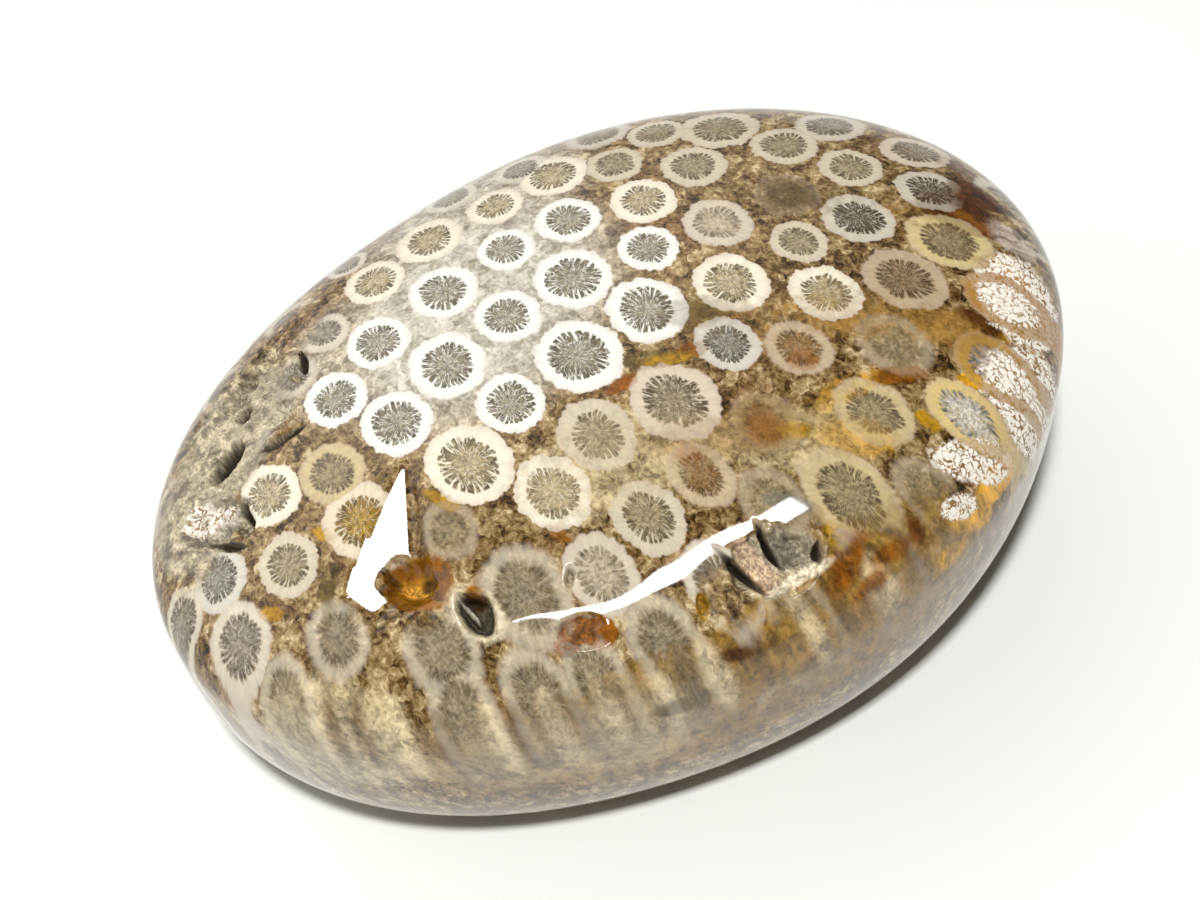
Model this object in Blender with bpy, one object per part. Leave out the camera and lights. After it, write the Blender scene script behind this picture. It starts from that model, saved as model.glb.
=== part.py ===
"""Polished fossil coral head: one solid agatised stone, pebble-rounded, on a lapped flat base.

The base stands on z = 0 and the long axis runs along X. The widest line lies above mid height, the
foot below it is drawn in, and the crown has kept the stone's natural hollows.
"""
import bpy
import bmesh
from math import atan2, cos, exp, hypot, log, radians, sin
from mathutils import Vector, noise
from mathutils.bvhtree import BVHTree

for old in list(bpy.data.objects):
    bpy.data.objects.remove(old, do_unlink=True)

MM = 0.001

# The polished skin. The foot is narrower than the girdle, and the crown leans a little towards -X.
half_length = 42.0 * MM
half_width = 27.5 * MM
height = 33.0 * MM
girdle_height = 19.5 * MM
crown_lean = -2.4 * MM
plan_middle_x = 2.03 * MM
plan_middle_y = 0.73 * MM
foot_share = 0.76
crown_power = 0.75
foot_power = 0.365
bulge_share = 0.027
corner_share = 0.015

# The mesh: an icosphere's rounds of subdivision, then rounds that only the hollows get.
skin_rounds = 5
hollow_rounds = 2
hollow_margin = 1.1 * MM
flat_angle = radians(0.05)
grain = 1.3 * MM

# The dimple was ground out, so its walls are flat and meet in soft creases. Each has the two ends
# of its rim in plan, with the hollow on the right-hand side of the way from one to the other, and
# how steep it is in degrees. The first two make one wide wall that bends a little.
DIMPLE_WALLS = {
    "wide wall, lower half": (-29.6, -7.0, -25.3, -3.7, 21.8),
    "wide wall, upper half": (-25.3, -3.7, -20.1, 0.1, 25.5),
    "narrow wall": (-19.9, -0.9, -21.9, -7.0, 48),
    "foot wall": (-21.6, -10.9, -28.4, -11.0, 42),
    "end wall": (-28.9, -10.4, -29.9, -6.6, 60),
}
crease_round = 0.2 * MM

# Sags that the polish follows, and hollows with bare rock in them: where in plan, half length, half
# width, turn of the long axis in degrees, depth, the share of the way in that the wall takes, and
# how ragged the rim and floor are. A negative depth is a lump that stands up inside a hollow.
SAGS = {
    "bowl of the dimple": (-24.3, -9.1, 3.2, 2.7, -34, 1.0, 0.8, 0.1),
    "sag by the oval vug": (-18.6, -18.6, 4.6, 3.6, -30, 0.14, 1.0, 0.0),
    "sag of the front": (-11.8, -15.6, 4.6, 3.2, -30, 0.09, 1.0, 0.0),
    "sag round the jagged hollow": (-0.5, -21.5, 6.2, 4.2, -30, 0.12, 1.0, 0.0),
}
HOLLOWS = {
    "vug in the dimple": (-24.3, -9.3, 2.0, 0.9, -31, 0.9, 0.5, 0.45),
    "oval vug": (-21.4, -13.8, 2.3, 1.5, -80, 2.8, 0.45, 0.25),
    "bar in the oval vug": (-21.8, -13.5, 1.7, 0.4, -83, -1.7, 0.6, 0.1),
    "jagged hollow": (1.3, -21.3, 4.3, 2.8, -28, 0.6, 0.2, 0.3),
    "grey plates": (3.0, -21.3, 2.6, 1.7, -42, 0.7, 0.4, 0.2),
    "left cleft": (-1.6, -20.8, 3.1, 0.6, -72, 1.4, 0.8, 0.25),
    "middle cleft": (1.5, -20.2, 2.5, 0.5, -87, 1.9, 0.9, 0.2),
    "right cleft": (4.9, -22.3, 1.1, 0.5, 72, 1.4, 0.8, 0.2),
    "deep oval hole": (-31.9, 9.6, 2.3, 1.2, 23, 3.0, 0.5, 0.1),
    "small hole": (-28.6, 13.0, 1.2, 0.8, 59, 2.0, 0.6, 0.15),
    "edge slot": (-22.4, 13.8, 1.6, 0.5, 77, 1.7, 0.8, 0.2),
    "edge slot's foot": (-23.6, 12.8, 0.9, 0.5, 110, 1.0, 0.8, 0.2),
    "edge notch": (-24.8, 17.0, 2.9, 1.5, 32, 0.8, 0.7, 0.2),
    "groove": (-27.2, 8.0, 2.6, 0.6, -4, 1.3, 0.8, 0.2),
    "worn cup": (-26.3, 10.5, 1.9, 1.1, 15, 0.8, 0.7, 0.1),
    "broken patch": (-35.2, 4.7, 3.7, 2.2, -22, 1.0, 0.35, 0.45),
    "crack behind the patch": (-32.8, 3.9, 1.5, 0.5, -85, 1.8, 0.8, 0.2),
    "crack under the patch": (-35.5, 2.4, 2.2, 0.4, -43, 1.1, 0.8, 0.1),
    "weathered skin": (-30.3, 11.8, 7.2, 3.8, 40, 0.35, 0.3, 0.5),
    "edge step": (-27.4, 15.8, 3.4, 1.5, 40, 0.9, 0.5, 0.4),
    "crystal block": (-33.9, 4.9, 1.0, 0.7, -60, -0.8, 0.5, 0.2),
    "shallow bed": (-14.9, -19.0, 2.4, 1.5, -30, 0.7, 0.5, 0.1),
    "round lump": (-13.7, -19.6, 1.1, 1.1, 0, -0.6, 0.9, 0.0),
    "middle lump": (-15.5, -18.5, 1.0, 0.9, 0, -0.5, 0.9, 0.0),
    "outer lump": (-16.5, -19.1, 0.9, 0.9, 0, -0.5, 0.9, 0.0),
    "short slot": (-13.8, -15.1, 1.3, 0.5, 59, 0.8, 0.8, 0.1),
    "yellow pit": (-5.6, -21.6, 1.2, 0.6, 75, 1.0, 0.7, 0.2),
}


def skin(direction):
    """The point of the polished skin that lies in a unit direction from the stone's middle."""
    around = atan2(direction.y, direction.x)
    out = hypot(direction.x, direction.y)
    plan = 1 - bulge_share * sin(around) - corner_share * cos(3 * around)
    reach = plan * out / hypot(cos(around) / half_length, sin(around) / half_width)
    if direction.z >= 0:
        z = girdle_height + (height - girdle_height) * direction.z ** crown_power
    else:
        edge = max(out - foot_share, 0) / (1 - foot_share)
        z = girdle_height * (1 - max(1 - edge ** (1 / foot_power), 0) ** foot_power)
    x = reach * cos(around) + crown_lean * z / height + plan_middle_x
    return Vector((x, reach * sin(around) + plan_middle_y, z))


def smooth(share):
    """An S-shaped step from 0 to 1."""
    share = min(max(share, 0), 1)
    return share * share * (3 - 2 * share)


def crown_point(tree, x, y):
    """The point of the crown, and its outward normal, straight above a point of the plan in mm."""
    above = Vector((x * MM, y * MM, 2 * height))
    point, normal, _, _ = tree.ray_cast(above, Vector((0, 0, -1)))
    return point, normal


def hollow_frames(tree, table):
    """Each hollow's middle on the skin, outward normal, two axes in the skin, and its numbers."""
    frames = []
    for x, y, half_long, half_short, turn, depth, wall, ragged in table.values():
        middle, normal = crown_point(tree, x, y)
        heading = Vector((cos(radians(turn)), sin(radians(turn)), 0))
        long_axis = (heading - normal * heading.dot(normal)).normalized()
        short_axis = normal.cross(long_axis)
        frames.append((middle, normal, long_axis, short_axis,
                       half_long * MM, half_short * MM, depth * MM, wall, ragged))
    return frames


def dimple_frames(tree):
    """Each dimple wall's start on the skin and the outward normal of its plane."""
    frames = []
    for x, y, far_x, far_y, steepness in DIMPLE_WALLS.values():
        start, _ = crown_point(tree, x, y)
        end, _ = crown_point(tree, far_x, far_y)
        _, normal = crown_point(tree, (x + far_x) / 2, (y + far_y) / 2)
        inward = (end - start).cross(normal).normalized()
        upright = inward.cross(end - start).normalized()
        steepness = radians(steepness)
        frames.append((start, upright * cos(steepness) + inward * sin(steepness)))
    return frames


def dimpled(point, frames):
    """A point of the skin let down to the walls of the dimple, where it lies over them all."""
    lower, upper, *others = [
        (point - start).dot(normal) / normal.z / crease_round for start, normal in frames]
    drops = [max(lower, upper) + log(1 + exp(-abs(lower - upper))), *others]
    if min(drops) < 0:
        return point.copy()
    drop = -log(sum(exp(-drop) for drop in drops)) * crease_round
    return point - Vector((0, 0, max(drop, 0)))


def sunk(point, frames):
    """A point of the skin, moved in by every hollow that it lies in."""
    moved = point.copy()
    for middle, normal, long_axis, short_axis, half_long, half_short, depth, wall, ragged in frames:
        away = point - middle
        if away.length > half_long * 2:
            continue
        rough = ragged * noise.noise(point / grain)
        share = hypot(away.dot(long_axis) / half_long, away.dot(short_axis) / half_short) + rough
        moved -= normal * depth * smooth((1 - share) / wall) * (1 + rough)
    return moved


def is_hollow(point):
    """Whether a point of the skin lies in the dimple, or in a hollow or close to one."""
    if dimpled(point, dimple) != point:
        return True
    return any((point - frame[0]).length < frame[4] + hollow_margin for frame in hollows + sags[:1])


# The polished pebble, as an even ball of triangles that is finer around the hollows.
ball = bmesh.new()
bmesh.ops.create_icosphere(ball, subdivisions=skin_rounds, radius=1)
pebble = ball.copy()
for vert in pebble.verts:
    vert.co = skin(vert.co.normalized())
pebble.normal_update()
crown = BVHTree.FromBMesh(pebble)
pebble.free()
dimple = dimple_frames(crown)
sags = hollow_frames(crown, SAGS)
hollows = hollow_frames(crown, HOLLOWS)
for _ in range(hollow_rounds):
    near = []
    for edge in ball.edges:
        halfway = skin(((edge.verts[0].co + edge.verts[1].co) / 2).normalized())
        if is_hollow(halfway):
            near.append(edge)
    bmesh.ops.subdivide_edges(ball, edges=near, cuts=1, use_grid_fill=True)
    bmesh.ops.triangulate(ball, faces=ball.faces)
for vert in ball.verts:
    vert.co = sunk(sunk(dimpled(skin(vert.co.normalized()), dimple), sags), hollows)

# The base is lapped flat, so its triangles are merged.
foot = [face for face in ball.faces if all(vert.co.z == 0 for vert in face.verts)]
rim = {edge for face in foot for edge in face.edges}
bmesh.ops.dissolve_limit(ball, angle_limit=flat_angle, edges=list(rim),
                         verts=list({vert for face in foot for vert in face.verts}))
bmesh.ops.triangulate(ball, faces=ball.faces)
bmesh.ops.recalc_face_normals(ball, faces=ball.faces)
for face in ball.faces:
    face.smooth = True

mesh = bpy.data.meshes.new("coral_head")
ball.to_mesh(mesh)
ball.free()
stone = bpy.data.objects.new("coral_head", mesh)
bpy.context.scene.collection.objects.link(stone)

agate = bpy.data.materials.new("polished agatised coral")
agate.use_nodes = True
shader = agate.node_tree.nodes["Principled BSDF"]
shader.inputs["Base Color"].default_value = (0.56, 0.48, 0.35, 1)
shader.inputs["Roughness"].default_value = 0.12
mesh.materials.append(agate)
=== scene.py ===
from math import atan2, cos, exp, hypot, log, radians, sin

import bmesh
import bpy
import numpy as np
from mathutils import Matrix, Vector, noise
from mathutils.bvhtree import BVHTree


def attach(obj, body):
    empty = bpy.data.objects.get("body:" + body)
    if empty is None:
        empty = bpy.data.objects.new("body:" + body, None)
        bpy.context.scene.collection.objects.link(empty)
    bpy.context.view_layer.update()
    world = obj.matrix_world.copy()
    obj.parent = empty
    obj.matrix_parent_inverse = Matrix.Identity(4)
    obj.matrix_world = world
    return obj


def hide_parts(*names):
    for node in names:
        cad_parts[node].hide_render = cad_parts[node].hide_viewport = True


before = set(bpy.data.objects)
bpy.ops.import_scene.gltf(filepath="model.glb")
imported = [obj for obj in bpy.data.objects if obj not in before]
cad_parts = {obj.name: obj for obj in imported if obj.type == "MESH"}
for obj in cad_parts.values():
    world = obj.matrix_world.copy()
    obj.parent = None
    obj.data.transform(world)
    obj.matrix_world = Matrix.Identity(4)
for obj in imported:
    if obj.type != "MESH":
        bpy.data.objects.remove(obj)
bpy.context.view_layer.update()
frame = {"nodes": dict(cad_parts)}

MM = 0.001

# ---------------------------------------------------------------------------------------------
# The stone. One head of colonial coral, turned to agate, ground and tumbled to a pebble that is
# polished all over. Its foot is lapped flat, so it stands by itself. The crown keeps the natural
# hollows, and the end at -X a broken patch that the polish has not reached.
# ---------------------------------------------------------------------------------------------

# The skin: its half axes at the girdle, its heights over the flat base, how far the crown leans
# towards -X, and how the plan and the profile depart from plain ovals.
half_length = 42.0 * MM
half_width = 27.5 * MM
height = 33.0 * MM
girdle_height = 19.5 * MM
crown_lean = -2.4 * MM
plan_middle_x = 2.03 * MM
plan_middle_y = 0.73 * MM
foot_share = 0.76
crown_power = 0.75
foot_power = 0.365
bulge_share = 0.027
corner_share = 0.015

# The mesh: the ball's rounds of subdivision, rounds that only the hollows get, and the broken
# rock's ragged rims and its grit in two sizes.
crown_rounds = 5
skin_rounds = 7
hollow_rounds = 2
hollow_margin = 0.6 * MM
ragged_grain = 1.3 * MM
grit_size = 0.45 * MM
grit_height = 0.12 * MM
grit_onset = 3
fine_grit_ratio = 2.3
fine_grit_share = 0.5

# The dimple was ground out, so its walls are flat and meet in soft creases. Each has the two ends
# of its rim in plan, with the hollow on the right-hand side of the way from one to the other, and
# how steep it is in degrees. The first two make one wide wall that bends a little.
DIMPLE_WALLS = {
    "wide wall, lower half": (-29.6, -7.0, -25.3, -3.7, 21.8),
    "wide wall, upper half": (-25.3, -3.7, -20.1, 0.1, 25.5),
    "narrow wall": (-19.9, -0.9, -21.9, -7.0, 48),
    "foot wall": (-21.6, -10.9, -28.4, -11.0, 42),
    "end wall": (-28.9, -10.4, -29.9, -6.6, 60),
}
crease_round = 0.2 * MM

# Sags that the polish follows, and hollows with bare rock in them: where in plan, half length, half
# width, turn of the long axis in degrees, depth, the share of the way in that the wall takes, and
# how ragged the rim and floor are. A negative depth is a lump that stands up inside a hollow.
SAGS = {
    "bowl of the dimple": (-24.3, -9.1, 3.2, 2.7, -34, 1.0, 0.8, 0.1),
    "sag by the oval vug": (-18.6, -18.6, 4.6, 3.6, -30, 0.14, 1.0, 0.0),
    "sag of the front": (-11.8, -15.6, 4.6, 3.2, -30, 0.09, 1.0, 0.0),
    "sag round the jagged hollow": (-0.5, -21.5, 6.2, 4.2, -30, 0.12, 1.0, 0.0),
}
HOLLOWS = {
    "vug in the dimple": (-24.3, -9.3, 2.0, 0.9, -31, 0.9, 0.5, 0.45),
    "oval vug": (-21.4, -13.8, 2.3, 1.5, -80, 2.8, 0.45, 0.25),
    "bar in the oval vug": (-21.8, -13.5, 1.7, 0.4, -83, -1.7, 0.6, 0.1),
    "jagged hollow": (1.3, -21.3, 4.3, 2.8, -28, 0.6, 0.2, 0.3),
    "grey plates": (3.0, -21.3, 2.6, 1.7, -42, 0.7, 0.4, 0.2),
    "left cleft": (-1.6, -20.8, 3.1, 0.6, -72, 1.4, 0.8, 0.25),
    "middle cleft": (1.5, -20.2, 2.5, 0.5, -87, 1.9, 0.9, 0.2),
    "right cleft": (4.9, -22.3, 1.1, 0.5, 72, 1.4, 0.8, 0.2),
    "deep oval hole": (-31.9, 9.6, 2.3, 1.2, 23, 3.0, 0.5, 0.1),
    "small hole": (-28.6, 13.0, 1.2, 0.8, 59, 2.0, 0.6, 0.15),
    "edge slot": (-22.4, 13.8, 1.6, 0.5, 77, 1.7, 0.8, 0.2),
    "edge slot's foot": (-23.6, 12.8, 0.9, 0.5, 110, 1.0, 0.8, 0.2),
    "edge notch": (-24.8, 17.0, 2.9, 1.5, 32, 0.8, 0.7, 0.2),
    "groove": (-27.2, 8.0, 2.6, 0.6, -4, 1.3, 0.8, 0.2),
    "worn cup": (-26.3, 10.5, 1.9, 1.1, 15, 0.8, 0.7, 0.1),
    "broken patch": (-35.2, 4.7, 3.7, 2.2, -22, 1.0, 0.35, 0.45),
    "crack behind the patch": (-32.8, 3.9, 1.5, 0.5, -85, 1.8, 0.8, 0.2),
    "crack under the patch": (-35.5, 2.4, 2.2, 0.4, -43, 1.1, 0.8, 0.1),
    "weathered skin": (-30.3, 11.8, 7.2, 3.8, 40, 0.35, 0.3, 0.5),
    "edge step": (-27.4, 15.8, 3.4, 1.5, 40, 0.9, 0.5, 0.4),
    "crystal block": (-33.9, 4.9, 1.0, 0.7, -60, -0.8, 0.5, 0.2),
    "shallow bed": (-14.9, -19.0, 2.4, 1.5, -30, 0.7, 0.5, 0.1),
    "round lump": (-13.7, -19.6, 1.1, 1.1, 0, -0.6, 0.9, 0.0),
    "middle lump": (-15.5, -18.5, 1.0, 0.9, 0, -0.5, 0.9, 0.0),
    "outer lump": (-16.5, -19.1, 0.9, 0.9, 0, -0.5, 0.9, 0.0),
    "short slot": (-13.8, -15.1, 1.3, 0.5, 59, 0.8, 0.8, 0.1),
    "yellow pit": (-5.6, -21.6, 1.2, 0.6, 75, 1.0, 0.7, 0.2),
}


def skin(direction):
    """The point of the polished skin that lies in a unit direction from the stone's middle."""
    around = atan2(direction.y, direction.x)
    out = hypot(direction.x, direction.y)
    plan = 1 - bulge_share * sin(around) - corner_share * cos(3 * around)
    reach = plan * out / hypot(cos(around) / half_length, sin(around) / half_width)
    if direction.z >= 0:
        z = girdle_height + (height - girdle_height) * direction.z ** crown_power
    else:
        edge = max(out - foot_share, 0) / (1 - foot_share)
        z = girdle_height * (1 - max(1 - edge ** (1 / foot_power), 0) ** foot_power)
    x = reach * cos(around) + crown_lean * z / height + plan_middle_x
    return Vector((x, reach * sin(around) + plan_middle_y, z))


def smooth(share):
    """An S-shaped step from 0 to 1."""
    share = min(max(share, 0), 1)
    return share * share * (3 - 2 * share)


def crown_point(x, y):
    """The point of the crown, and its outward normal, over a point of the plan in mm."""
    point, normal, _, _ = crown.ray_cast(Vector((x * MM, y * MM, 2 * height)), Vector((0, 0, -1)))
    if point is None:
        point, normal, _, _ = crown.find_nearest(Vector((x * MM, y * MM, girdle_height)))
    return point, normal


def hollow_frames(table):
    """Each hollow's middle on the skin, outward normal, two axes in the skin, and its numbers."""
    frames = []
    for x, y, half_long, half_short, turn, depth, wall, ragged in table.values():
        middle, normal = crown_point(x, y)
        heading = Vector((cos(radians(turn)), sin(radians(turn)), 0))
        long_axis = (heading - normal * heading.dot(normal)).normalized()
        short_axis = normal.cross(long_axis)
        frames.append((middle, normal, long_axis, short_axis,
                       half_long * MM, half_short * MM, depth * MM, wall, ragged))
    return frames


def dimple_frames():
    """Each dimple wall's start on the skin and the outward normal of its plane."""
    frames = []
    for x, y, far_x, far_y, steepness in DIMPLE_WALLS.values():
        start, _ = crown_point(x, y)
        end, _ = crown_point(far_x, far_y)
        _, normal = crown_point((x + far_x) / 2, (y + far_y) / 2)
        inward = (end - start).cross(normal).normalized()
        upright = inward.cross(end - start).normalized()
        steepness = radians(steepness)
        frames.append((start, upright * cos(steepness) + inward * sin(steepness)))
    return frames


def dimpled(point, frames):
    """A point of the skin let down to the walls of the dimple, where it lies over them all."""
    lower, upper, *others = [
        (point - start).dot(normal) / normal.z / crease_round for start, normal in frames]
    drops = [max(lower, upper) + log(1 + exp(-abs(lower - upper))), *others]
    if min(drops) < 0:
        return point.copy()
    drop = -log(sum(exp(-drop) for drop in drops)) * crease_round
    return point - Vector((0, 0, max(drop, 0)))


def sunk(point, frames):
    """A point of the skin moved in by every hollow that it lies in."""
    moved = point.copy()
    for middle, normal, long_axis, short_axis, half_long, half_short, depth, wall, ragged in frames:
        away = point - middle
        if away.length > half_long * 2:
            continue
        rough = ragged * noise.noise(point / ragged_grain)
        share = hypot(away.dot(long_axis) / half_long, away.dot(short_axis) / half_short) + rough
        moved -= normal * depth * smooth((1 - share) / wall) * (1 + rough)
    return moved


def is_hollow(point):
    """Whether a point of the skin lies in the dimple, or in a hollow or close to one."""
    if dimpled(point, dimple) != point:
        return True
    bowl = sags[:1]
    return any((point - frame[0]).length < frame[4] + hollow_margin for frame in hollows + bowl)


# The places of all hollows are found on a coarse ball first.
ball = bmesh.new()
bmesh.ops.create_icosphere(ball, subdivisions=crown_rounds, radius=1)
for vert in ball.verts:
    vert.co = skin(vert.co.normalized())
ball.normal_update()
crown = BVHTree.FromBMesh(ball)
ball.free()
hollows = hollow_frames(HOLLOWS)
sags = hollow_frames(SAGS)
dimple = dimple_frames()

# The stone itself. Each vertex keeps how deep it lies in bare rock, in mm.
ball = bmesh.new()
bmesh.ops.create_icosphere(ball, subdivisions=skin_rounds, radius=1)
for _ in range(hollow_rounds):
    near = []
    for edge in ball.edges:
        halfway = skin(((edge.verts[0].co + edge.verts[1].co) / 2).normalized())
        if is_hollow(halfway):
            near.append(edge)
    bmesh.ops.subdivide_edges(ball, edges=near, cuts=1, use_grid_fill=True)
    bmesh.ops.triangulate(ball, faces=ball.faces)
depth_layer = ball.verts.layers.float.new("depth")
for vert in ball.verts:
    flush = sunk(dimpled(skin(vert.co.normalized()), dimple), sags)
    broken = sunk(flush, hollows)
    depth = (broken - flush).length
    grit = noise.noise(flush / grit_size)
    grit += fine_grit_share * noise.noise(flush / grit_size * fine_grit_ratio)
    lift = grit_height * smooth(depth / grit_height / grit_onset) * grit
    vert.co = broken + (flush - Vector((0, 0, girdle_height / 2))).normalized() * lift
    vert[depth_layer] = depth / MM
bmesh.ops.recalc_face_normals(ball, faces=ball.faces)
for face in ball.faces:
    face.smooth = True

mesh = bpy.data.meshes.new("polished coral head")
ball.to_mesh(mesh)
ball.free()
stone = bpy.data.objects.new("polished_coral_head", mesh)
bpy.context.scene.collection.objects.link(stone)
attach(stone, "root")
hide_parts("coral_head")

# ---------------------------------------------------------------------------------------------
# The coral's cups. Each coral animal left a tube through the whole stone, a pale wall round a
# ring of thin radial plates. The polish cuts the tubes across on the crown, where they show as
# rings, and along their length on the sides, where they show as long streaks.
# ---------------------------------------------------------------------------------------------

# How the tubes lean along X and Y, and how much that changes for each mm of the plan, because they
# fan out downwards.
tube_lean = (-0.229, 0.345)
tube_fan = -0.195 / 40


def linear(text):
    """An sRGB hex colour as the linear red, green and blue that shaders mix."""
    parts = [int(text[place:place + 2], 16) / 255 for place in (1, 3, 5)]
    return [part / 12.92 if part <= 0.04045 else ((part + 0.055) / 1.055) ** 2.4 for part in parts]


# Each finish of cup: wall colour, filling colour, how clearly wall and filling show, and then where
# in plan each cup of that finish is and its outer diameter, in mm.
CUPS = {
    "white": ("#e3e0d6", "#857c66", 1.0, 1.0, (
        (-6.5, 7.5, 5.5), (0, 8, 6.5), (3.5, 2, 6.5), (-3.5, 1, 7), (-10.5, 0, 5.5), (7, 7.5, 5),
        (-3, 14, 5), (-13, 6, 6.5), (-9.5, 13, 6), (3, 14, 5.5), (-16.5, 11.5, 5.5), (-19, 3.5, 6),
        (-22, 8.5, 5.5))),
    "bright cream": ("#dfd6bf", "#9d8e6b", 1.0, 1.0, (
        (11, 1, 6), (17.5, -3.5, 5.5), (-11.5, -8.5, 6), (-16, -3, 7), (9.5, 12.5, 5.5),
        (-30.5, 4, 5.5), (-7.5, 19.5, 6), (-1, 19.5, 5), (5, 20, 6), (-13.5, 18, 5.5))),
    "cream": ("#c6bba1", "#877a5c", 0.95, 0.95, (
        (18.5, 2, 4.5), (10, 18, 5), (15.5, 14, 5.5), (24, 12.5, 5.5), (27.5, 7.5, 5),
        (20.5, 17.5, 6.5), (-6, -6, 6), (-6, -14, 5.5), (15.5, 20, 5), (-32, -2.2, 5))),
    "cool grey": ("#c4bfb0", "#6e6a5e", 0.95, 1.0, ((7.5, -4, 5), (-37, 0.5, 5))),
    "slate": ("#c1baa6", "#564d3d", 0.95, 1.0, ((24.5, 2, 5.5), (32.5, 2.5, 5))),
    "pinkish": ("#cbbda6", "#7c7059", 0.95, 0.95, ((1, -6.5, 7), (34.5, 7.5, 5))),
    "brown filled": ("#b5a182", "#765f45", 0.9, 0.95, ((24.5, -5, 6),)),
    "yellow": ("#cfbb86", "#837458", 0.9, 0.85, ((30.5, -3, 6),)),
    "straw": ("#c6b386", "#85785a", 0.85, 0.9, (
        (15, -14.5, 5.5), (-25.5, 2.5, 5.5), (9.5, -19.5, 6.5))),
    "gold filled": ("#d5c8ab", "#94742a", 0.95, 0.95, ((-25.5, -2.5, 6.2),)),
    # Painted reflection: the pale fillings of the next three cups are glitter of light at the +X
    # end.
    "amber": ("#ab7c3c", "#c3b9a6", 0.9, 1.0, ((32, -10, 5.5),)),
    "ochre": ("#ad8842", "#a39c94", 0.9, 1.0, ((27.5, -15, 5.5),)),
    "pale gold with painted glitter": ("#d6bd80", "#c6c0b4", 0.9, 1.0, ((22.5, -17.5, 5),)),
    "rusty": ("#bfab8c", "#7d5c36", 0.8, 0.9, ((12.5, -7, 5), (-0.5, -13, 5))),
    "all rust": ("#9c845b", "#7d572c", 0.6, 0.85, ((6.5, -11.5, 5),)),
    "pale": ("#c9bea8", "#b3a78f", 0.9, 0.8, ((13.5, 7, 5.5), (-11.5, -16, 5.5))),
    "cloudy": ("#a99c80", "#94886b", 0.6, 0.6, (
        (20, -10, 5.5), (16, -22, 4.5), (3.5, -17.5, 5), (-20, -7, 4.5))),
    "dark": ("#6d5d42", "#503f21", 0.6, 0.8, ((20.5, 7, 5),)),
    "veiled": ("#c9c0a8", "#877d67", 0.6, 0.75, (
        (-17.5, -14.5, 7), (-9.5, -22.5, 5.5), (-15.5, -22.5, 5), (-20, -21.5, 5.5), (-25, -14.5, 6),
        (10.5, -26.5, 6), (1.5, -25.5, 5), (-25.5, -21, 5.5), (-31.5, -9.5, 5), (-37, -11, 5))),
    "edge grey": ("#cdc4b0", "#7d7566", 0.85, 0.9, (
        (-38, -5, 5.5), (-41, 0, 4.5), (-14, 22.5, 4), (-19.5, 15.5, 4.5), (3.5, 23, 5), (-3, 24, 5),
        (29.5, 13.5, 5.5), (38.5, -4, 4))),
}

# Wherever the list leaves room, mostly on the sides and underneath, spare tubes stand at random,
# clear of all the others at three levels. Lengths are in mm.
tube_levels = (0.0, 16.0, 33.0)
spare_level = 16.0
spare_reach = (60, 45)
spare_radii = (2.3, 3.3)
spare_spacing = 0.98
spare_tries = 6000
spare_seed = 7
spare_wall = "#ddd3bf"
spare_filling = "#857c6b"
spare_shades = (0.72, 1.0)
spare_wall_shows = (0.5, 0.9)
spare_filling_shows = (0.6, 1.0)


def tube_heading(x, y):
    """The direction of the tube that crosses the crown at a point of the plan in mm."""
    return Vector((tube_lean[0] + tube_fan * x, tube_lean[1] + tube_fan * y, 1)).normalized()


starts, headings, radii, walls, fillings, clearness = [], [], [], [], [], []
for wall, filling, wall_shows, filling_shows, places in CUPS.values():
    for x, y, diameter in places:
        starts.append(crown_point(x, y)[0] / MM)
        headings.append(tube_heading(x, y))
        radii.append(diameter / 2)
        walls.append(linear(wall))
        fillings.append(linear(filling))
        clearness.append((wall_shows, filling_shows))


def at_level(start, heading, level):
    """Where a tube's axis crosses a height, in mm."""
    return start + heading * ((level - start.z) / heading.z)


draws = np.random.default_rng(spare_seed)
levels = [[at_level(start, heading, level) for level in tube_levels]
          for start, heading in zip(starts, headings)]
for _ in range(spare_tries):
    x, y = (draws.uniform(-reach, reach) for reach in spare_reach)
    radius = draws.uniform(*spare_radii)
    start = Vector((x, y, spare_level))
    heading = tube_heading(x, y)
    crossings = [at_level(start, heading, level) for level in tube_levels]
    if all((other[k] - crossings[k]).length > (radius + other_radius) * spare_spacing
           for other, other_radius in zip(levels, radii) for k in range(len(tube_levels))):
        starts.append(start)
        headings.append(heading)
        radii.append(radius)
        shade = draws.uniform(*spare_shades)
        walls.append([part * shade for part in linear(spare_wall)])
        fillings.append([part * shade for part in linear(spare_filling)])
        clearness.append((draws.uniform(*spare_wall_shows), draws.uniform(*spare_filling_shows)))
        levels.append(crossings)

# Each corner of the mesh gets its two nearest tubes: how far across them it lies, where 1 is a
# tube's rim, which tube it is, and the tube's colours and how clearly they show. The triangles are
# taken in batches, which keeps the arrays small.
batch_count = 20
starts, headings, radii = np.array(starts), np.array(headings), np.array(radii)
across = np.cross(headings, (0, 1, 0))
across /= np.linalg.norm(across, axis=1)[:, None]
along = np.cross(headings, across)

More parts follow.
